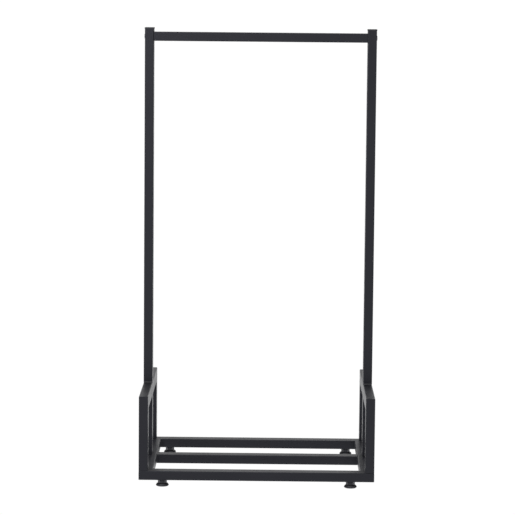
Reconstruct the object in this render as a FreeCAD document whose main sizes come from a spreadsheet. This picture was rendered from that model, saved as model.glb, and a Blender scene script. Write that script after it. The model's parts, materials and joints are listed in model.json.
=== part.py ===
import FreeCAD, Part
import os
import Sketcher

# Firewood log rack: a flat base frame with three cross rails, two low side frames that stand on it,
# and a tall hoop that stands on the middle of the side frames. All of it is one rectangular steel
# tube, laid flat in the base and turned thin side out everywhere else. Four levelling feet screw
# into the base. Millimetres; +X is the rack's width, +Y its depth, +Z up; the origin is on the
# floor, below the middle of the rack.

SIZES = [
    ("tube_deep", 30, "wider side of the tube"),
    ("tube_thin", 20, "narrower side of the tube"),
    ("tube_wall", 1.2, "wall of the tube"),
    ("tube_radius", 2, "outer radius of the tube's corners"),
    ("rack_width", 510, "overall width"),
    ("rack_depth", 400, "overall depth"),
    ("rack_height", 987, "overall height, floor to the top of the caps"),
    ("side_height", 163, "height of a side frame above the base frame"),
    ("hoop_drop", 9.5, "top of the caps to the top of the hoop rail"),
    ("plug_slack", 0.1, "gap between a plug and the tube round it"),
    ("cap_thick", 3, "head of an upright's cap"),
    ("cap_lip", 0.6, "overhang of the cap's head all round"),
    ("cap_stem", 12, "part of the cap inside the upright"),
    ("cap_round", 1, "rounding of the cap's head"),
    ("insert_flange", 2.5, "flange of an upright's insert"),
    ("insert_depth", 25, "part of an upright's insert inside the upright"),
    ("plug_depth", 20, "length of the plugs in the posts and the hoop rail"),
    ("foot_height", 14.5, "floor to the underside of the base frame, feet screwed in"),
    ("foot_inset", 51, "centre of a foot to the end of the base frame"),
    ("pad_foot_radius", 12.5, "pad where it meets the floor"),
    ("pad_rim_radius", 14, "pad at its rim"),
    ("pad_rim_low", 1.5, "floor to the lower edge of the rim"),
    ("pad_rim_high", 2.7, "floor to the upper edge of the rim"),
    ("pad_top_radius", 12, "pad at its top"),
    ("pad_height", 5.5, "height of the pad"),
    ("pad_round", 0.5, "rounding of the rim's edges"),
    ("socket_floor", 1.6, "floor of the socket in the pad"),
    ("socket_mouth", 4, "lower end of the socket's narrow mouth"),
    ("button_radius", 5.5, "button on the lower end of a stud, held in the socket"),
    ("run_gap", 0.06, "running clearance of turning and threaded parts"),
    ("collar_flats", 17, "hexagonal collar of a stud, across flats"),
    ("collar_low", 5.8, "floor to the underside of the collar"),
    ("collar_high", 13.8, "floor to the top of the collar"),
    ("stud_radius", 4, "M8 thread"),
    ("stud_chamfer", 1, "chamfer at a stud's end"),
    ("stud_top", 32.2, "floor to the upper end of a foot's stud"),
    ("nut_head_radius", 6.5, "head of a rivet nut"),
    ("nut_head_thick", 0.4, "thickness of that head"),
    ("nut_radius", 5.4, "body of a rivet nut"),
    ("nut_bulge_radius", 6.6, "bulge behind the wall that holds a rivet nut"),
    ("nut_bulge_thick", 3, "length of the bulge"),
    ("nut_length", 15, "length of a rivet nut below its head"),
    ("hole_slack", 0.1, "gap between a rivet nut and its hole"),
    ("hoop_stud_low", 12, "part of a hoop stud below the side frame's top"),
    ("hoop_stud_high", 24, "part of a hoop stud above the side frame's top"),
    ("screw_radius", 3, "M6 thread"),
    ("screw_chamfer", 0.8, "chamfer at a screw's tip"),
    ("screw_hole", 3.3, "clearance hole of an M6 screw"),
    ("hoop_screw_length", 36, "hoop rail screw below its head"),
    ("hoop_screw_head", 5.5, "radius of its domed head"),
    ("hoop_screw_head_height", 1.3, "height of that head"),
    ("hoop_screw_round", 0.9, "rounding of that head"),
    ("hoop_screw_key", 4, "its hexagonal socket, across flats"),
    ("hoop_screw_key_depth", 2.4, "depth of that socket"),
    ("post_screw_length", 16, "post screw below its head"),
    ("post_screw_head", 5, "radius of its head"),
    ("post_screw_head_height", 6, "height of that head"),
    ("post_screw_round", 0.4, "rounding of that head"),
    ("post_screw_key", 5, "its hexagonal socket, across flats"),
    ("post_screw_key_depth", 3, "depth of that socket"),
    ("post_screw_shift", 6, "corner post's middle to its screw, which keeps clear of the mitre"),
    ("washer_radius", 6.4, "washer of a post screw"),
    ("washer_thick", 1.6, "thickness of that washer"),
    ("access_radius", 7, "hole below a post screw, which its head and washer pass"),
]

X = FreeCAD.Vector(1, 0, 0)
Y = FreeCAD.Vector(0, 1, 0)
Z = FreeCAD.Vector(0, 0, 1)
PLANE_NORMALS = {"XY_Plane": Z, "XZ_Plane": -Y, "YZ_Plane": X}
SIDES = (("left", -1), ("right", 1))
ENDS = (("front", -1), ("rear", 1))

# Places and lengths that several sub-parts share, as expressions over the sheet.
HALF_WIDTH = "Sizes.rack_width / 2"
HALF_DEPTH = "Sizes.rack_depth / 2"
POST_X = "(Sizes.rack_width - Sizes.tube_thin) / 2"
POST_Y = "(Sizes.rack_depth - Sizes.tube_deep) / 2"
BASE_RAIL_X = "(Sizes.rack_width - Sizes.tube_deep) / 2"
FOOT_X = "(Sizes.rack_width / 2 - Sizes.foot_inset)"
BASE_MIDDLE_Z = "(Sizes.foot_height + Sizes.tube_thin / 2)"
BASE_TOP_Z = "(Sizes.foot_height + Sizes.tube_thin)"
SIDE_TOP_Z = "(Sizes.foot_height + Sizes.tube_thin + Sizes.side_height)"
UPRIGHT_LOW_Z = "(Sizes.foot_height + Sizes.tube_thin + Sizes.side_height + Sizes.insert_flange)"
UPRIGHT_TOP_Z = "(Sizes.rack_height - Sizes.cap_thick)"
HOOP_RAIL_Z = "(Sizes.rack_height - Sizes.hoop_drop - Sizes.tube_thin / 2)"
HOOP_RAIL_X = "(Sizes.rack_width / 2 - Sizes.tube_thin)"
PLUG_DEEP = "Sizes.tube_deep - 2 * Sizes.tube_wall - 2 * Sizes.plug_slack"
PLUG_THIN = "Sizes.tube_thin - 2 * Sizes.tube_wall - 2 * Sizes.plug_slack"
PLUG_RADIUS = "Sizes.tube_radius - Sizes.tube_wall - Sizes.plug_slack"
M6_BORE = "Sizes.screw_radius + Sizes.run_gap"
M8_BORE = "Sizes.stud_radius + Sizes.run_gap"
NUT_HOLE = "Sizes.nut_radius + Sizes.hole_slack"

doc = FreeCAD.newDocument("LogRack")
sheet = doc.addObject("Spreadsheet::Sheet", "Sizes")
for row, (alias, value, meaning) in enumerate(SIZES, start=1):
    sheet.set(f"A{row}", meaning)
    sheet.set(f"B{row}", str(value))
    sheet.setAlias(f"B{row}", alias)
doc.recompute()

nodes = []


def signed(sign, expression):
    """The expression, mirrored where sign is -1."""
    return f"{sign} * {expression}"


def place(piece, at, rotation=None):
    """Puts a piece at three expressions, turned by a rotation."""
    if rotation:
        piece.Placement = FreeCAD.Placement(FreeCAD.Vector(), rotation)
    for axis, expression in zip("xyz", at):
        piece.setExpression(f"Placement.Base.{axis}", expression)


def turned(along, across):
    """The rotation that takes a piece's Z to along and its X to across."""
    return FreeCAD.Rotation(across, along.cross(across), along, "ZXY")


def new_body(name, at, rotation=None):
    body = doc.addObject("PartDesign::Body", name)
    body.Label = name
    place(body, at, rotation)
    return body


def new_sketch(body, name, role):
    """A sketch on one of the body's own origin planes."""
    sketch = body.newObject("Sketcher::SketchObject", name)
    plane = next(item for item in body.Origin.OriginFeatures if item.Role == role)
    sketch.AttachmentSupport = [(plane, "")]
    sketch.MapMode = "FlatFace"
    return sketch


def add_dimension(sketch, name, kind, where, expression):
    """One driving dimension of a sketch, bound to an expression."""
    index = sketch.addConstraint(Sketcher.Constraint(kind, *where, sketch.evalExpression(expression)))
    sketch.renameConstraint(index, name)
    sketch.setExpression(f"Constraints.{name}", expression)


def pin_point(sketch, name, where, across, up):
    """Fixes a point of a sketch at two expressions from the sketch's origin."""
    for kind, axis, expression in (("DistanceX", -2, across), ("DistanceY", -1, up)):
        if expression == "0":
            sketch.addConstraint(Sketcher.Constraint("PointOnObject", *where, axis))
        else:
            add_dimension(sketch, f"{name}_{kind}", kind, (-1, 1, *where), expression)


def draw_rounded(sketch, name, wide, high, radius):
    """A rectangle with round corners, centred on the sketch's origin."""
    half_wide = sketch.evalExpression(wide) / 2
    half_high = sketch.evalExpression(high) / 2
    corner = sketch.evalExpression(radius)
    side_x = half_wide - corner
    side_y = half_high - corner
    corners = [(side_x, -side_y), (side_x, side_y), (-side_x, side_y), (-side_x, -side_y)]
    sides = [
        ((-side_x, -half_high), (side_x, -half_high)),
        ((half_wide, -side_y), (half_wide, side_y)),
        ((side_x, half_high), (-side_x, half_high)),
        ((-half_wide, side_y), (-half_wide, -side_y)),
    ]
    quarter = 1.5707963267948966
    first = sketch.GeometryCount
    for turn, ((start, end), centre) in enumerate(zip(sides, corners)):
        sketch.addGeometry(Part.LineSegment(FreeCAD.Vector(*start), FreeCAD.Vector(*end)))
        circle = Part.Circle(FreeCAD.Vector(*centre), Z, corner)
        sketch.addGeometry(Part.ArcOfCircle(circle, (turn - 1) * quarter, turn * quarter))
    for turn in range(4):
        line = first + 2 * turn
        arc = line + 1
        following = first + (2 * turn + 2) % 8
        sketch.addConstraint(Sketcher.Constraint("Tangent", line, 2, arc, 1))
        sketch.addConstraint(Sketcher.Constraint("Tangent", arc, 2, following, 1))
        sketch.addConstraint(Sketcher.Constraint("Vertical" if turn % 2 else "Horizontal", line))
        if turn:
            sketch.addConstraint(Sketcher.Constraint("Equal", first + 1, arc))
    sketch.addConstraint(Sketcher.Constraint("Symmetric", first + 1, 3, first + 5, 3, -1, 1))
    add_dimension(sketch, f"{name}_wide", "DistanceX", (first + 6, 1, first + 2, 1), wide)
    add_dimension(sketch, f"{name}_high", "DistanceY", (first, 1, first + 4, 1), high)
    add_dimension(sketch, f"{name}_radius", "Radius", (first + 1,), radius)


def draw_outline(sketch, points):
    """A closed outline of straight sides through points given as pairs of expressions."""
    places = [FreeCAD.Vector(*(sketch.evalExpression(value) for value in point)) for point in points]
    count = len(points)
    first = sketch.GeometryCount
    for turn, start in enumerate(places):
        sketch.addGeometry(Part.LineSegment(start, places[(turn + 1) % count]))
    for turn, (across, up) in enumerate(points):
        line = first + turn
        following = first + (turn + 1) % count
        sketch.addConstraint(Sketcher.Constraint("Coincident", line, 2, following, 1))
        pin_point(sketch, f"point{line}", (line, 1), across, up)


def extrude(body, name, sketch, length):
    feature = body.newObject("PartDesign::Pad", name)
    feature.Profile = sketch
    feature.setExpression("Length", length)


def cut_through(body, name, sketch):
    """Cuts a sketch through the body, both ways from its plane."""
    feature = body.newObject("PartDesign::Pocket", name)
    feature.Profile = sketch
    feature.Type = "ThroughAll"
    feature.SideType = "Symmetric"
    return feature


def drill(body, name, role, spots, radius, towards=None, depth=None):
    """Round holes square to an origin plane, at spots given as pairs of expressions.

    They go both ways, or only towards one direction of the rack, all the way or to a depth.
    """
    sketch = new_sketch(body, f"{name}_sketch", role)
    for number, (across, up) in enumerate(spots):
        middle = FreeCAD.Vector(sketch.evalExpression(across), sketch.evalExpression(up))
        sketch.addGeometry(Part.Circle(middle, Z, sketch.evalExpression(radius)))
        pin_point(sketch, f"spot{number}", (number, 3), across, up)
        add_dimension(sketch, f"radius{number}", "Radius", (number,), radius)
    feature = cut_through(body, name, sketch)
    if towards:
        feature.SideType = "One side"
        feature.Reversed = body.Placement.Rotation.multVec(PLANE_NORMALS[role]).dot(towards) > 0
    if depth:
        feature.Type = "Length"
        feature.setExpression("Length", depth)


def revolve(body, name, points):
    """A solid turned about the body's Z axis from an outline of radius and height."""
    sketch = new_sketch(body, f"{name}_sketch", "XZ_Plane")
    draw_outline(sketch, points)
    feature = body.newObject("PartDesign::Revolution", name)
    feature.Profile = sketch
    feature.ReferenceAxis = (sketch, ["V_Axis"])


def round_edges(body, name, level, rounding):
    """Rounds every edge that lies at one height of the body."""
    doc.recompute()
    height = body.evalExpression(level)
    solid = body.Tip
    edges = [
        f"Edge{number}"
        for number, edge in enumerate(solid.Shape.Edges, start=1)
        if abs(edge.BoundBox.ZMin - height) < 0.001 and abs(edge.BoundBox.ZMax - height) < 0.001
    ]
    feature = body.newObject("PartDesign::Fillet", name)
    feature.Base = (solid, edges)
    feature.setExpression("Radius", rounding)


def hexagon(body, kind, name, flats, low, height):
    """A hexagonal prism about the body's Z axis, added or cut away."""
    prism = body.newObject(f"PartDesign::{kind}Prism", name)
    prism.Polygon = 6
    prism.setExpression("Circumradius", f"{flats} / (2 * cos(30 deg))")
    prism.setExpression("Height", height)
    prism.setExpression("Placement.Base.z", low)


def tube(label, length, along, across, at, mitres=""):
    """A length of tube from at along one axis, its wider side lying across.

    A mitre takes the side that faces across off at 45 degrees, at the start, the end or both.
    """
    body = new_body(label, at, turned(along, across))
    section = new_sketch(body, f"{label}_section", "XY_Plane")
    draw_rounded(section, "outer", "Sizes.tube_deep", "Sizes.tube_thin", "Sizes.tube_radius")
    draw_rounded(
        section,
        "inner",
        "Sizes.tube_deep - 2 * Sizes.tube_wall",
        "Sizes.tube_thin - 2 * Sizes.tube_wall",
        "Sizes.tube_radius - Sizes.tube_wall",
    )
    extrude(body, f"{label}_length", section, length)
    near = "-Sizes.tube_deep"
    far = "Sizes.tube_deep"
    reach = "1.5 * Sizes.tube_deep"
    cuts = {
        "start": [(near, "-Sizes.tube_deep / 2"), (far, "-Sizes.tube_deep / 2"), (far, reach)],
        "end": [
            (near, f"{length} + Sizes.tube_deep / 2"),
            (far, f"{length} + Sizes.tube_deep / 2"),
            (far, f"{length} - {reach}"),
        ],
    }
    for end in mitres.split():
        sketch = new_sketch(body, f"{label}_{end}_mitre_sketch", "XZ_Plane")
        draw_outline(sketch, cuts[end])
        cut_through(body, f"{label}_{end}_mitre", sketch)
    nodes.append(body)
    return body


def plug(name, depth, at, rotation, bore, bore_at=("0", "0"), flange=None):
    """A bored block that fills a tube, on a flange of the tube's own outline if it has one."""
    body = new_body(name, at, rotation)
    if flange:
        outline = new_sketch(body, f"{name}_flange_outline", "XY_Plane")
        draw_rounded(outline, "flange", "Sizes.tube_deep", "Sizes.tube_thin", "Sizes.tube_radius")
        extrude(body, f"{name}_flange", outline, flange)
    section = new_sketch(body, f"{name}_section", "XY_Plane")
    draw_rounded(section, "plug", PLUG_DEEP, PLUG_THIN, PLUG_RADIUS)
    extrude(body, f"{name}_block", section, depth)
    drill(body, f"{name}_bore", "XY_Plane", [bore_at], bore)
    return body


def rivet_nut(name, at, rotation=None):
    """A rivet nut set in a wall whose outer face is at its origin; its body runs up along Z."""
    body = new_body(name, at, rotation)
    bulge_end = "Sizes.tube_wall + Sizes.nut_bulge_thick"
    outline = [
        (M8_BORE, "-Sizes.nut_head_thick"),
        ("Sizes.nut_head_radius", "-Sizes.nut_head_thick"),
        ("Sizes.nut_head_radius", "0"),
        ("Sizes.nut_radius", "0"),
        ("Sizes.nut_radius", "Sizes.tube_wall"),
        ("Sizes.nut_bulge_radius", "Sizes.tube_wall"),
        ("Sizes.nut_bulge_radius", bulge_end),
        ("Sizes.nut_radius", bulge_end),
        ("Sizes.nut_radius", "Sizes.nut_length"),
        (M8_BORE, "Sizes.nut_length"),
    ]
    revolve(body, f"{name}_turned", outline)
    return body


def socket_screw(name, kind, at, rotation):
    """An M6 screw: its head stands up from its origin, its shank runs down. kind names its sizes."""
    body = new_body(name, at, rotation)
    tip = f"-Sizes.{kind}_length"
    head_radius = f"Sizes.{kind}_head"
    head_height = f"Sizes.{kind}_head_height"
    outline = [
        ("0", tip),
        ("Sizes.screw_radius - Sizes.screw_chamfer", tip),
        ("Sizes.screw_radius", f"{tip} + Sizes.screw_chamfer"),
        ("Sizes.screw_radius", "0"),
        (head_radius, "0"),
        (head_radius, head_height),
        ("0", head_height),
    ]
    revolve(body, f"{name}_turned", outline)
    round_edges(body, f"{name}_round", head_height, f"Sizes.{kind}_round")
    key_depth = f"Sizes.{kind}_key_depth"
    key_floor = f"{head_height} - {key_depth}"
    hexagon(body, "Subtractive", f"{name}_key", f"Sizes.{kind}_key", key_floor, key_depth)
    return body


def group(label, pieces):
    """One node of identical, separate solids."""
    compound = doc.addObject("Part::Compound", label)
    compound.Label = label
    compound.Links = pieces
    nodes.append(compound)


# Base frame: four mitred rails laid flat, and a middle rail between the side rails. Holes in the
# underside take the rivet nuts of the feet and let the post screws in.
BOTH_ENDS = "start end"
FOOT_SPOTS = [("0", "Sizes.foot_inset"), ("0", "Sizes.rack_width - Sizes.foot_inset")]
SCREW_INSET = "(Sizes.tube_deep / 2 + Sizes.post_screw_shift)"
SCREW_ACROSS = "(Sizes.tube_thin - Sizes.tube_deep) / 2"
SCREW_SPOTS = [
    (SCREW_ACROSS, SCREW_INSET),
    (SCREW_ACROSS, HALF_DEPTH),
    (SCREW_ACROSS, f"Sizes.rack_depth - {SCREW_INSET}"),
]
for end, way in ENDS:
    at = (signed(-1, HALF_WIDTH), signed(way, POST_Y), BASE_MIDDLE_Z)
    rail = tube(f"base_{end}_rail", "Sizes.rack_width", X, Y * -way, at, BOTH_ENDS)
    drill(rail, f"base_{end}_nut_holes", "XZ_Plane", FOOT_SPOTS, NUT_HOLE, towards=-Z)
for side, sign in SIDES:
    at = (signed(sign, BASE_RAIL_X), signed(-1, HALF_DEPTH), BASE_MIDDLE_Z)
    rail = tube(f"base_{side}_rail", "Sizes.rack_depth", Y, X * -sign, at, BOTH_ENDS)
    drill(rail, f"base_{side}_screw_holes", "XZ_Plane", SCREW_SPOTS, "Sizes.screw_hole", towards=Z)
    drill(rail, f"base_{side}_access_holes", "XZ_Plane", SCREW_SPOTS, "Sizes.access_radius", towards=-Z)
tube("base_mid_rail", "Sizes.rack_width - 2 * Sizes.tube_deep", X, Y,
     ("Sizes.tube_deep - Sizes.rack_width / 2", "0", BASE_MIDDLE_Z))

# Side frames: three posts and a top rail that is mitred to the front and rear posts.
for side, sign in SIDES:
    post_x = signed(sign, POST_X)
    for end, way in ENDS:
        at = (post_x, signed(way, POST_Y), BASE_TOP_Z)
        tube(f"{side}_{end}_post", "Sizes.side_height", Z, Y * -way, at, "end")
    tube(f"{side}_mid_post", "Sizes.side_height - Sizes.tube_deep", Z, Y, (post_x, "0", BASE_TOP_Z))
    at = (post_x, signed(-1, HALF_DEPTH), f"{SIDE_TOP_Z} - Sizes.tube_deep / 2")
    rail = tube(f"{side}_top_rail", "Sizes.rack_depth", Y, -Z, at, BOTH_ENDS)
    drill(rail, f"{side}_nut_hole", "YZ_Plane", [("0", HALF_DEPTH)], NUT_HOLE, towards=Z)

# Hoop: two uprights, with a rail between them that a screw through each upright holds.
for side, sign in SIDES:
    at = (signed(sign, POST_X), "0", UPRIGHT_LOW_Z)
    upright = tube(f"{side}_upright", f"{UPRIGHT_TOP_Z} - {UPRIGHT_LOW_Z}", Z, Y, at)
    drill(upright, f"{side}_screw_holes", "XZ_Plane", [("0", f"{HOOP_RAIL_Z} - {UPRIGHT_LOW_Z}")],
          "Sizes.screw_hole")
tube("hoop_rail", f"2 * {HOOP_RAIL_X}", X, Y, (signed(-1, HOOP_RAIL_X), "0", HOOP_RAIL_Z))

# Cap of each upright: a rounded head on a stem that fills the tube.
for side, sign in SIDES:
    cap = new_body(f"{side}_upright_cap", (signed(sign, POST_X), "0", UPRIGHT_TOP_Z), turned(Z, Y))
    head = new_sketch(cap, f"{side}_cap_head_outline", "XY_Plane")
    draw_rounded(head, "head", "Sizes.tube_deep + 2 * Sizes.cap_lip",
                 "Sizes.tube_thin + 2 * Sizes.cap_lip", "Sizes.tube_radius + Sizes.cap_lip")
    extrude(cap, f"{side}_cap_head", head, "Sizes.cap_thick")
    round_edges(cap, f"{side}_cap_round", "Sizes.cap_thick", "Sizes.cap_round")
    stem = new_sketch(cap, f"{side}_cap_stem_outline", "XY_Plane")
    draw_rounded(stem, "stem", PLUG_DEEP, PLUG_THIN, PLUG_RADIUS)
    extrude(cap, f"{side}_cap_stem", stem, "Sizes.cap_stem")
    cap.Tip.Reversed = True
    nodes.append(cap)

# Joint between each side frame and its upright: a stud held by a rivet nut in the top rail and
# screwed into the flanged insert in the upright's lower end.
hoop_studs = []
hoop_nuts = []
for side, sign in SIDES:
    at = (signed(sign, POST_X), "0", SIDE_TOP_Z)
    insert = plug(f"{side}_upright_insert", "Sizes.insert_flange + Sizes.insert_depth", at,
                  turned(Z, Y), M8_BORE, flange="Sizes.insert_flange")
    drill(insert, f"{side}_insert_recess", "XY_Plane", [("0", "0")],
          "Sizes.nut_head_radius + Sizes.hole_slack", towards=Z,
          depth="Sizes.nut_head_thick + Sizes.hole_slack")
    nodes.append(insert)
    hoop_nuts.append(rivet_nut(f"{side}_hoop_nut", at, turned(-Z, X)))
    stud = new_body(f"{side}_hoop_stud", at)
    revolve(stud, f"{side}_hoop_stud_turned", [
        ("0", "-Sizes.hoop_stud_low"),
        ("Sizes.stud_radius - Sizes.stud_chamfer", "-Sizes.hoop_stud_low"),
        ("Sizes.stud_radius", "Sizes.stud_chamfer - Sizes.hoop_stud_low"),
        ("Sizes.stud_radius", "Sizes.hoop_stud_high - Sizes.stud_chamfer"),
        ("Sizes.stud_radius - Sizes.stud_chamfer", "Sizes.hoop_stud_high"),
        ("0", "Sizes.hoop_stud_high"),
    ])
    hoop_studs.append(stud)
group("upright_studs", hoop_studs)
group("upright_rivet_nuts", hoop_nuts)

# Joint between the hoop rail and each upright: an insert in the rail's end and a domed screw.
rail_inserts = []
rail_screws = []
for side, sign in SIDES:
    at = (signed(sign, HOOP_RAIL_X), "0", HOOP_RAIL_Z)
    rail_inserts.append(plug(f"{side}_rail_insert", "Sizes.plug_depth", at,
                             turned(X * -sign, Y), M6_BORE))
    at = (signed(sign, HALF_WIDTH), "0", HOOP_RAIL_Z)
    rail_screws.append(socket_screw(f"{side}_rail_screw", "hoop_screw", at, turned(X * sign, Y)))
group("hoop_rail_inserts", rail_inserts)
group("hoop_rail_screws", rail_screws)

# Joint between each post and the base: an insert in the post's lower end, and a screw and washer
# inside the base rail, under its top wall.
post_inserts = []
post_screws = []
post_washers = []
WASHER_Z = f"{BASE_TOP_Z} - Sizes.tube_wall - Sizes.washer_thick"
for side, sign in SIDES:
    for spot, way in (*ENDS, ("mid", 0)):
        name = f"{side}_{spot}"
        post_x = signed(sign, POST_X)
        bore_at = ("Sizes.post_screw_shift", "0") if way else ("0", "0")
        screw_y = signed(way, f"({POST_Y} - Sizes.post_screw_shift)")
        post_inserts.append(plug(f"{name}_post_insert", "Sizes.plug_depth",
                                 (post_x, signed(way, POST_Y), BASE_TOP_Z),
                                 turned(Z, Y * (-way or 1)), M6_BORE, bore_at))
        post_screws.append(socket_screw(f"{name}_post_screw", "post_screw", (post_x, screw_y, WASHER_Z),
                                        turned(-Z, X)))
        washer = new_body(f"{name}_post_washer", (post_x, screw_y, WASHER_Z))
        revolve(washer, f"{name}_washer_turned", [
            ("Sizes.screw_hole", "0"),
            ("Sizes.washer_radius", "0"),
            ("Sizes.washer_radius", "Sizes.washer_thick"),
            ("Sizes.screw_hole", "Sizes.washer_thick"),
        ])
        post_washers.append(washer)
group("post_inserts", post_inserts)
group("post_screws", post_screws)
group("post_washers", post_washers)

# Levelling feet: a plastic pad that stays on the floor, a stud that turns in it and screws into a
# rivet nut in the base, and a hexagonal collar on the stud for a spanner.
foot_nuts = []
for end, way in ENDS:
    for side, sign in SIDES:
        name = f"{end}_{side}"
        foot_x = signed(sign, FOOT_X)
        foot_y = signed(way, POST_Y)
        foot_pad = new_body(f"{name}_pad", (foot_x, foot_y, "0"))
        revolve(foot_pad, f"{name}_pad_turned", [
            ("0", "0"),
            ("Sizes.pad_foot_radius", "0"),
            ("Sizes.pad_rim_radius", "Sizes.pad_rim_low"),
            ("Sizes.pad_rim_radius", "Sizes.pad_rim_high"),
            ("Sizes.pad_top_radius", "Sizes.pad_height"),
            (M8_BORE, "Sizes.pad_height"),
            (M8_BORE, "Sizes.socket_mouth"),
            ("Sizes.button_radius + Sizes.run_gap", "Sizes.socket_mouth"),
            ("Sizes.button_radius + Sizes.run_gap", "Sizes.socket_floor"),
            ("0", "Sizes.socket_floor"),
        ])
        for level in ("low", "high"):
            round_edges(foot_pad, f"{name}_rim_{level}", f"Sizes.pad_rim_{level}", "Sizes.pad_round")
        stud = new_body(f"{name}_stud", (foot_x, foot_y, "0"))
        button_top = "Sizes.socket_mouth - Sizes.run_gap"
        revolve(stud, f"{name}_stud_turned", [
            ("0", "Sizes.socket_floor + Sizes.run_gap"),
            ("Sizes.button_radius", "Sizes.socket_floor + Sizes.run_gap"),
            ("Sizes.button_radius", button_top),
            ("Sizes.stud_radius", button_top),
            ("Sizes.stud_radius", "Sizes.stud_top - Sizes.stud_chamfer"),
            ("Sizes.stud_radius - Sizes.stud_chamfer", "Sizes.stud_top"),
            ("0", "Sizes.stud_top"),
        ])
        hexagon(stud, "Additive", f"{name}_collar", "Sizes.collar_flats", "Sizes.collar_low",
                "Sizes.collar_high - Sizes.collar_low")
        nodes.extend([foot_pad, stud])
        foot_nuts.append(rivet_nut(f"{name}_nut", (foot_x, foot_y, "Sizes.foot_height")))
group("foot_rivet_nuts", foot_nuts)

doc.recompute()
faults = [item.Name for item in doc.Objects if {"Invalid", "Error"} & set(item.State)]
if faults:
    raise RuntimeError(f"failed to compute: {faults}")
for node in nodes:
    if node.Shape.isNull() or not node.Shape.isValid():
        raise RuntimeError(f"bad shape: {node.Label}")

os.makedirs("parts", exist_ok=True)
for node in nodes:
    node.Shape.exportStep(f"parts/{node.Label}.step")
print(f"{len(nodes)} nodes, {sum(len(node.Shape.Solids) for node in nodes)} solids")
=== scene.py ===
import json
import math

import bmesh
import bpy
from mathutils import Matrix, Vector


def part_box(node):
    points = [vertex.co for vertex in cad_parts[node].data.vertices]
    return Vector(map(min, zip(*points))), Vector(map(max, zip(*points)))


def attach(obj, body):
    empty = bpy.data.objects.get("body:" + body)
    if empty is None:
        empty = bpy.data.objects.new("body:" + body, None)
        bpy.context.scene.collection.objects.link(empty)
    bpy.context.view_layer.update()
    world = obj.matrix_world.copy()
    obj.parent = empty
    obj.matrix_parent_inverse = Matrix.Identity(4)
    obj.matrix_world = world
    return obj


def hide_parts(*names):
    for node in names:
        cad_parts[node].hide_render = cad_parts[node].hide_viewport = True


# Looks of the firewood log rack: black powder-coated tube, moulded plastic caps and pads, blackened
# and zinc-plated fasteners, weld beads and threaded levelling feet. Metres, in the CAD's frame.

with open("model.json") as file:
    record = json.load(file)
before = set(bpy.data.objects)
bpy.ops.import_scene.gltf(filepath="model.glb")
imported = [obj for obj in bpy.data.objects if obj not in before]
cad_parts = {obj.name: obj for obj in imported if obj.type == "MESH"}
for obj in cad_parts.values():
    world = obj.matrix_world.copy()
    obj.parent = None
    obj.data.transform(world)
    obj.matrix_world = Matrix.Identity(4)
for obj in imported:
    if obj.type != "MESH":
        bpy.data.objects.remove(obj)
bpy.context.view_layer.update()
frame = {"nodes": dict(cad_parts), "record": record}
nodes = frame["nodes"]
record = frame["record"]
scene = bpy.context.scene

MM = 0.001
X = Vector((1, 0, 0))
Y = Vector((0, 1, 0))
Z = Vector((0, 0, 1))
WHITE = (1, 1, 1, 1)
BLACK = (0, 0, 0, 1)
# Just above white, so that the background is clean and doesn't eat into the object's edges.
BACKGROUND_GLOW = 1.02

# ---------------------------------------------------------------------------------- materials

NOISE_LOW = 0.3
NOISE_HIGH = 0.7
SMEARS_PER_PATCH = 2.3
PATCH_DETAIL = 4
SMEAR_DETAIL = 3
RELIEF_DETAIL = 2


def link(tree, source, output, target, socket):
    tree.links.new(source.outputs[output], target.inputs[socket])


def noise(tree, coordinates, scale, detail):
    """Noise with a given number of features per metre."""
    texture = tree.nodes.new("ShaderNodeTexNoise")
    texture.inputs["Scale"].default_value = scale
    texture.inputs["Detail"].default_value = detail
    link(tree, coordinates, "Object", texture, "Vector")
    return texture


def spread(tree, texture, low, high):
    """Maps a noise's usual range to low and high."""
    mapped = tree.nodes.new("ShaderNodeMapRange")
    mapped.inputs["From Min"].default_value = NOISE_LOW
    mapped.inputs["From Max"].default_value = NOISE_HIGH
    mapped.inputs["To Min"].default_value = low
    mapped.inputs["To Max"].default_value = high
    link(tree, texture, "Fac", mapped, "Value")
    return mapped


def blend_colours(tree, texture, dark, light):
    """Colours a noise's usual range from dark to light."""
    ramp = tree.nodes.new("ShaderNodeValToRGB")
    for element, position, colour in zip(
        ramp.color_ramp.elements, (NOISE_LOW, NOISE_HIGH), (dark, light)
    ):
        element.position = position
        element.color = (*colour, 1)
    link(tree, texture, "Fac", ramp, "Fac")
    return ramp


def bump(tree, texture, height, below):
    """A bump of a given height in metres, on top of another bump if there is one."""
    relief = tree.nodes.new("ShaderNodeBump")
    relief.inputs["Strength"].default_value = 1
    relief.inputs["Distance"].default_value = height
    link(tree, texture, "Fac", relief, "Height")
    if below:
        link(tree, below, "Normal", relief, "Normal")
    return relief


def make_material(name, dark, light, rough, patch, reliefs, metallic=0.0, specular=0.5,
                  tint=(1, 1, 1)):
    """A finish whose colour and roughness drift between two limits, with layers of fine relief.

    patch is the number of colour patches per metre; each relief is (features per metre, height).
    """
    material = bpy.data.materials.new(name)
    material.use_nodes = True
    tree = material.node_tree
    shader = tree.nodes["Principled BSDF"]
    shader.inputs["Metallic"].default_value = metallic
    shader.inputs["Specular IOR Level"].default_value = specular
    shader.inputs["Specular Tint"].default_value = (*tint, 1)
    coordinates = tree.nodes.new("ShaderNodeTexCoord")
    patches = noise(tree, coordinates, patch, PATCH_DETAIL)
    link(tree, blend_colours(tree, patches, dark, light), "Color", shader, "Base Color")
    smears = noise(tree, coordinates, patch * SMEARS_PER_PATCH, SMEAR_DETAIL)
    link(tree, spread(tree, smears, *rough), "Result", shader, "Roughness")
    relief = None
    for scale, height in reliefs:
        relief = bump(tree, noise(tree, coordinates, scale, RELIEF_DETAIL), height, relief)
    link(tree, relief, "Normal", shader, "Normal")
    return material


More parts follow.
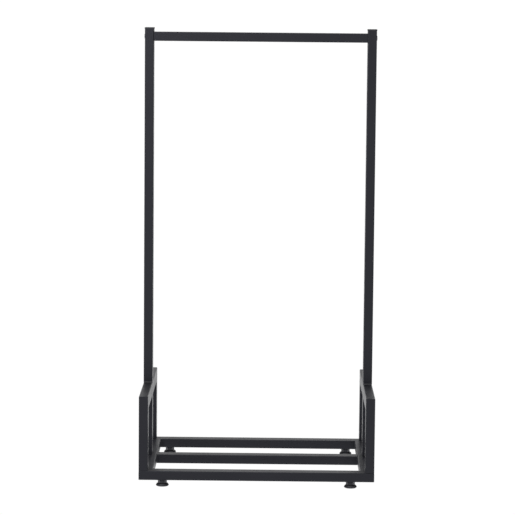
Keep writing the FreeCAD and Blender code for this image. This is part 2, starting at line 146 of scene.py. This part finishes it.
powder_coat = make_material(
    "powder_coat", dark=(0.0070, 0.0072, 0.0092), light=(0.0090, 0.0092, 0.0114),
    rough=(0.36, 0.43), patch=9, reliefs=((1700, 0.04 * MM), (750, 0.018 * MM)),
    specular=0.29, tint=(0.86, 0.87, 1.0),
)
plastic = make_material(
    "moulded_plastic", dark=(0.0100, 0.0102, 0.0122), light=(0.0132, 0.0134, 0.0156),
    rough=(0.44, 0.54), patch=60, reliefs=((2600, 0.02 * MM),),
    specular=0.4, tint=(0.90, 0.91, 1.0),
)
nylon = make_material(
    "nylon", dark=(0.029, 0.029, 0.033), light=(0.039, 0.039, 0.044),
    rough=(0.42, 0.55), patch=120, reliefs=((1500, 0.01 * MM),),
)
black_steel = make_material(
    "black_steel", dark=(0.0100, 0.0102, 0.0122), light=(0.0180, 0.0182, 0.0212),
    rough=(0.32, 0.42), patch=150, reliefs=((2500, 0.01 * MM),),
    metallic=0.2, specular=0.4, tint=(0.90, 0.91, 1.0),
)
zinc = make_material(
    "zinc_plate", dark=(0.44, 0.45, 0.46), light=(0.62, 0.62, 0.61),
    rough=(0.24, 0.38), patch=180, reliefs=((1800, 0.01 * MM),), metallic=1.0,
)

FINISHES = {
    "powder_coat": powder_coat,
    "cap": plastic,
    "pad": plastic,
    "insert": nylon,
    "black_steel": black_steel,
    "steel": zinc,
}


def paint(piece, material):
    piece.data.materials.clear()
    piece.data.materials.append(material)


for subpart in record["subparts"]:
    paint(nodes[subpart["node"]], FINISHES[subpart["material_slot"]])

# ------------------------------------------------------------------------------------- pieces


def add_object(name, data):
    thing = bpy.data.objects.new(name, data)
    scene.collection.objects.link(thing)
    return thing


def loft(rings):
    """A closed skin through rings of points, with both ends closed."""
    mesh = bmesh.new()
    loops = [[mesh.verts.new(point) for point in ring] for ring in rings]
    for one, two in zip(loops, loops[1:]):
        for k in range(len(one)):
            mesh.faces.new((one[k - 1], one[k], two[k], two[k - 1]))
    mesh.faces.new(loops[0])
    mesh.faces.new(loops[-1])
    bmesh.ops.recalc_face_normals(mesh, faces=mesh.faces)
    return mesh


def add_piece(name, rings, body, slot, smooth_angle):
    """A lofted piece of the object, smooth where its faces meet below an angle in degrees."""
    mesh = loft(rings)
    data = bpy.data.meshes.new(name)
    mesh.to_mesh(data)
    mesh.free()
    data.shade_smooth()
    piece = add_object(name, data)
    data.set_sharp_from_angle(angle=math.radians(smooth_angle))
    paint(piece, FINISHES[slot])
    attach(piece, body)
    return piece


# Weld beads: fillets along the inside corners between tubes, with the ripples of the weld pool.
WELD_LEG = 2.6 * MM
WELD_ROOT = 0.3 * MM
WELD_CROWN = 0.16
WELD_RIPPLE = 1.7 * MM
WELD_RIPPLE_SHARE = 0.09
WELD_RIPPLE_LAG = 0.45 * WELD_RIPPLE
WELD_END_POWER = 6
WELD_END_SHARE = 0.2
WELD_STEP = 0.28 * MM
WELD_ARC_STEPS = 6
WELD_SMOOTH_ANGLE = 60
TUBE_RADIUS = 2 * MM


def weld_bead(name, start, end, side_a, side_b):
    """A bead from start to end, between the faces that run to side_a and side_b."""
    length = (end - start).length
    along = (end - start) / length
    steps = round(length / WELD_STEP)
    rings = []
    for step in range(steps + 1):
        share = step / steps
        middle = start + along * length * share
        swell = max(1 - abs(2 * share - 1) ** WELD_END_POWER, WELD_END_SHARE**2) ** 0.5
        ring = [middle - (side_a + side_b) * WELD_ROOT]
        for arc_step in range(WELD_ARC_STEPS + 1):
            turn = math.pi / 2 * arc_step / WELD_ARC_STEPS
            bulge = math.sin(2 * turn)
            wave = abs(math.sin(math.pi * (length * share + WELD_RIPPLE_LAG * bulge) / WELD_RIPPLE))
            reach = WELD_LEG * swell / (math.cos(turn) + math.sin(turn))
            reach *= 1 + WELD_CROWN * bulge + WELD_RIPPLE_SHARE * (wave - 0.5)
            ring.append(middle + (side_a * math.cos(turn) + side_b * math.sin(turn)) * reach)
        rings.append(ring)
    add_piece(name, rings, "rack", "powder_coat", WELD_SMOOTH_ANGLE)


def weld_base_frame():
    """The middle rail's ends, and the inside of the four mitred corners."""
    mid_low, mid_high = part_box("base_mid_rail")
    front_rail_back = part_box("base_front_rail")[1].y
    low = Z * (mid_low.z + TUBE_RADIUS)
    high = Z * (mid_high.z - TUBE_RADIUS)
    for side, x, inward in (("left", mid_low.x, X), ("right", mid_high.x, -X)):
        for name, y, away in (
            (f"weld_mid_rail_{side}_front", mid_low.y, -Y),
            (f"weld_mid_rail_{side}_rear", mid_high.y, Y),
            (f"weld_base_corner_{side}_front", front_rail_back, Y),
            (f"weld_base_corner_{side}_rear", -front_rail_back, -Y),
        ):
            spot = X * x + Y * y
            weld_bead(name, spot + low, spot + high, inward, away)


def weld_side_frame(side):
    """The middle post's top, and the inside of the two mitred corners."""
    post_low, post_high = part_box(f"{side}_mid_post")
    front_post_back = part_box(f"{side}_front_post")[1].y
    low = X * (post_low.x + TUBE_RADIUS)
    high = X * (post_high.x - TUBE_RADIUS)
    for name, y, away in (
        (f"weld_{side}_post_front", post_low.y, -Y),
        (f"weld_{side}_post_rear", post_high.y, Y),
        (f"weld_{side}_corner_front", front_post_back, Y),
        (f"weld_{side}_corner_rear", -front_post_back, -Y),
    ):
        spot = Y * y + Z * post_high.z
        weld_bead(name, spot + low, spot + high, -Z, away)


weld_base_frame()
for side in ("left", "right"):
    weld_side_frame(side)

# Screws of the levelling feet: a button held in the pad, a hexagonal collar for a spanner, and an
# M8 thread. They stand for the plain CAD studs.
BUTTON_RADIUS = 5.5 * MM
BUTTON_THICK = 2.2 * MM
BUTTON_ROUND = 0.5 * MM
COLLAR_GAP = 0.3 * MM
COLLAR_THICK = 8 * MM
COLLAR_CHAMFER = 0.4 * MM
# How much of the collar's corners is left 1, 2 and 3 chamfers from its ends.
COLLAR_CORNER_SHARES = (0.1, 0.6, 1)
THREAD_RADIUS = 4 * MM
THREAD_DEPTH = 0.62 * MM
THREAD_PITCH = 1.25 * MM
THREAD_SLOPE = 1.3
THREAD_CREST = 0.12
THREAD_CHAMFER = 1 * MM
THREAD_STEPS = 8
TURN_STEPS = 36
SCREW_SMOOTH_ANGLE = 28


def plain(radius):
    """A circle's radius at any angle."""
    return lambda turn: radius


def hexagon(flat, limit):
    """The radius of a hexagon with flats to the front and rear, its corners cut off at limit."""
    sector = math.tau / 6
    return lambda turn: min(flat / math.cos(turn % sector - sector / 2), limit)


def thread(z, limit):
    """The radius of a right-handed thread's section at height z, cut off at limit."""

    def radius(turn):
        place = (z / THREAD_PITCH - turn / math.tau) % 1
        groove = min(max(abs(2 * place - 1) * THREAD_SLOPE - THREAD_CREST, 0), 1)
        return min(THREAD_RADIUS - THREAD_DEPTH * groove, limit)

    return radius


def round_ring(centre, z, radius):
    """A ring of points round centre at height z; radius is a function of the angle."""
    ring = []
    for step in range(TURN_STEPS):
        turn = math.tau * step / TURN_STEPS
        reach = radius(turn)
        ring.append((centre.x + reach * math.cos(turn), centre.y + reach * math.sin(turn), z))
    return ring


def foot_screw(foot):
    node = f"{foot}_stud"
    low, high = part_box(node)
    centre = (low + high) / 2
    flat = (high.y - low.y) / 2
    corner = (high.x - low.x) / 2
    button_top = low.z + BUTTON_THICK
    collar_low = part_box(f"{foot}_pad")[1].z + COLLAR_GAP
    collar_high = collar_low + COLLAR_THICK
    chamfer = [
        (COLLAR_CHAMFER * level, hexagon(flat, flat + (corner - flat) * share))
        for level, share in enumerate(COLLAR_CORNER_SHARES, start=1)
    ]
    sections = [
        (low.z, plain(BUTTON_RADIUS - BUTTON_ROUND)),
        (low.z + BUTTON_ROUND, plain(BUTTON_RADIUS)),
        (button_top, plain(BUTTON_RADIUS)),
        (button_top, plain(THREAD_RADIUS)),
        (collar_low, plain(THREAD_RADIUS)),
        (collar_low, plain(flat - COLLAR_CHAMFER)),
        *((collar_low + rise, outline) for rise, outline in chamfer),
        *((collar_high - rise, outline) for rise, outline in reversed(chamfer)),
        (collar_high, plain(flat - COLLAR_CHAMFER)),
        (collar_high, plain(THREAD_RADIUS - THREAD_DEPTH)),
    ]
    step = THREAD_PITCH / THREAD_STEPS
    for level in range(1, int((high.z - collar_high) / step)):
        z = collar_high + level * step
        chamfered = THREAD_RADIUS - max(z - (high.z - THREAD_CHAMFER), 0)
        sections.append((z, thread(z, chamfered)))
    sections.append((high.z, plain(THREAD_RADIUS - THREAD_CHAMFER)))
    rings = [round_ring(centre, z, radius) for z, radius in sections]
    piece = add_piece(f"{foot}_foot_screw", rings, f"{foot}_screw", "black_steel", SCREW_SMOOTH_ANGLE)
    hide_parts(node)


for foot in ("front_left", "front_right", "rear_left", "rear_right"):
    foot_screw(foot)

# ------------------------------------------------------------------------------------- camera

CAMERA_AT = Vector((0.034, -5.238, 1.073))
CAMERA_PITCH = 0.1129
CAMERA_YAW = -0.0071
CAMERA_ROLL = 0.0091
LENS = 165.6
SENSOR_WIDTH = 36

camera_data = bpy.data.cameras.new("camera")
camera_data.lens = LENS
camera_data.sensor_width = SENSOR_WIDTH
camera = add_object("camera", camera_data)
camera.matrix_world = (
    Matrix.Translation(CAMERA_AT)
    @ Matrix.Rotation(-CAMERA_YAW, 4, "Z")
    @ Matrix.Rotation(math.pi / 2 - CAMERA_PITCH, 4, "X")
    @ Matrix.Rotation(CAMERA_ROLL, 4, "Z")
)
scene.camera = camera

# -------------------------------------------------------------------------------------- floor

FLOOR_REACH = 30


def add_floor():
    """A white floor that only glows, so it has no shadow, and that is left out of reflections.

    It lies as low as the feet reach when they are screwed out, so the feet show at every pose.
    """
    z = -max(
        joint["range_m"][1] for joint in record["behaviour"]["joints"] if joint["type"] == "slide"
    )
    mesh = bpy.data.meshes.new("floor")
    corners = [(x * FLOOR_REACH, y * FLOOR_REACH, z) for x, y in ((-1, -1), (1, -1), (1, 1), (-1, 1))]
    mesh.from_pydata(corners, [], [(0, 1, 2, 3)])
    floor = add_object("floor", mesh)
    material = bpy.data.materials.new("floor")
    material.use_nodes = True
    shader = material.node_tree.nodes["Principled BSDF"]
    shader.inputs["Base Color"].default_value = BLACK
    shader.inputs["Specular IOR Level"].default_value = 0
    shader.inputs["Emission Color"].default_value = WHITE
    shader.inputs["Emission Strength"].default_value = BACKGROUND_GLOW
    paint(floor, material)
    floor.visible_glossy = False


add_floor()

# ------------------------------------------------------------------------------------- studio

# Each is (place, value). A place is how far a direction points to the rear for the walls, and how
# far it points up for the others, where 1 is straight.
FRONT_WALL_LIGHT = (-1, 0.79)
BACK_WALL_LIGHT = (0.6, 0.92)
LOW_SHARE = (-0.15, 1.25)
HIGH_SHARE = (0.25, 0.70)
CEILING_EDGE_LIGHT = (0.2, 0)
CEILING_LIGHT = (0.8, 1.2)


def ramp(tree, source, output, start, end):
    """A smooth ramp between two (place, value) pairs."""
    node = tree.nodes.new("ShaderNodeMapRange")
    node.interpolation_type = "SMOOTHSTEP"
    for label, (place, value) in (("Min", start), ("Max", end)):
        node.inputs[f"From {label}"].default_value = place
        node.inputs[f"To {label}"].default_value = value
    link(tree, source, output, node, "Value")
    return node


def combine(tree, operation, one, two):
    node = tree.nodes.new("ShaderNodeMath")
    node.operation = operation
    tree.links.new(one.outputs[0], node.inputs[0])
    tree.links.new(two.outputs[0], node.inputs[1])
    return node


def add_studio():
    """A room that is brighter behind the rack than in front of it, and brighter at the floor than
    at eye level, with a bright ceiling. The camera sees it as plain white.
    """
    world = bpy.data.worlds.new("studio")
    scene.world = world
    world.use_nodes = True
    tree = world.node_tree
    tree.nodes.clear()
    direction = tree.nodes.new("ShaderNodeTexCoord")
    split = tree.nodes.new("ShaderNodeSeparateXYZ")
    link(tree, direction, "Generated", split, "Vector")
    walls = ramp(tree, split, "Y", FRONT_WALL_LIGHT, BACK_WALL_LIGHT)
    fade = ramp(tree, split, "Z", LOW_SHARE, HIGH_SHARE)
    ceiling = ramp(tree, split, "Z", CEILING_EDGE_LIGHT, CEILING_LIGHT)
    strength = combine(tree, "MAXIMUM", combine(tree, "MULTIPLY", walls, fade), ceiling)
    light = tree.nodes.new("ShaderNodeBackground")
    link(tree, strength, "Value", light, "Color")
    backdrop = tree.nodes.new("ShaderNodeBackground")
    backdrop.inputs["Color"].default_value = WHITE
    backdrop.inputs["Strength"].default_value = BACKGROUND_GLOW
    seen = tree.nodes.new("ShaderNodeLightPath")
    either = tree.nodes.new("ShaderNodeMixShader")
    tree.links.new(seen.outputs["Is Camera Ray"], either.inputs[0])
    tree.links.new(light.outputs[0], either.inputs[1])
    tree.links.new(backdrop.outputs[0], either.inputs[2])
    output = tree.nodes.new("ShaderNodeOutputWorld")
    tree.links.new(either.outputs[0], output.inputs[0])


def soft_box(name, at, aim, width, height, power):
    data = bpy.data.lights.new(name, "AREA")
    data.shape = "RECTANGLE"
    data.size = width
    data.size_y = height
    data.energy = power
    lamp = add_object(name, data)
    lamp.location = at
    lamp.rotation_euler = (Vector(aim) - Vector(at)).to_track_quat("-Z", "Y").to_euler()
    lamp.visible_camera = False


add_studio()
soft_box("left_light", at=(-1.3, -2.2, 1.7), aim=(-0.2, 0, 0.7), width=1.4, height=1.4, power=44)
scene.view_settings.view_transform = "Standard"
